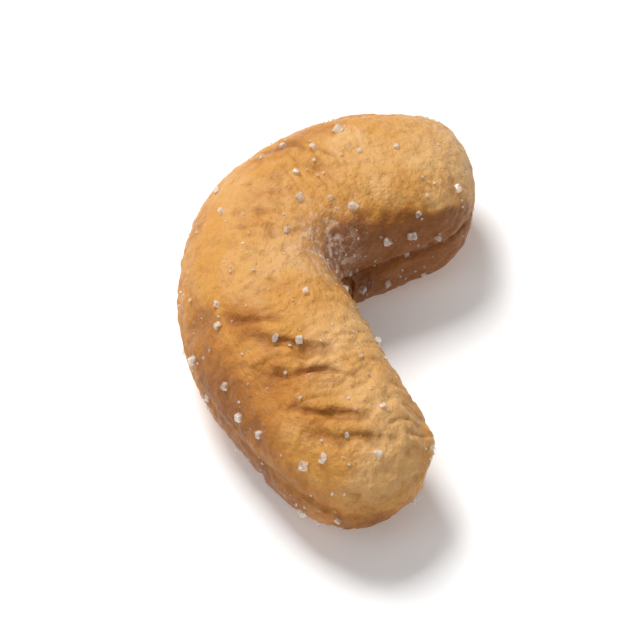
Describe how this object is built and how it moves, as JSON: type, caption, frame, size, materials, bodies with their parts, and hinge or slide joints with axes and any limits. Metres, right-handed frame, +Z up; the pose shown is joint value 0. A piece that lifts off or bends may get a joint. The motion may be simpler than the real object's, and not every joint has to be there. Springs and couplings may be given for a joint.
{
  "type": "salted cashew nut",
  "caption": "Whole roasted cashew kernel, bent like a comma with a blunt broad end and a narrower tip, lying on its side with salt grains stuck to its skin.",
  "frame": {"origin": "centre of the bounding box's bottom, on the surface that the nut rests on", "axes": "+Z up; +X along the nut's longest side, towards its broad end; the bend opens towards -Y"},
  "size_m": [0.028, 0.0168, 0.0094],
  "materials": {
    "kernel": "satin, slightly oily, golden tan with toasted orange-brown patches",
    "salt": "white translucent salt crystals"
  },
  "bodies": {
    "root": {"kernel": "kernel"}
  },
  "joints": []
}
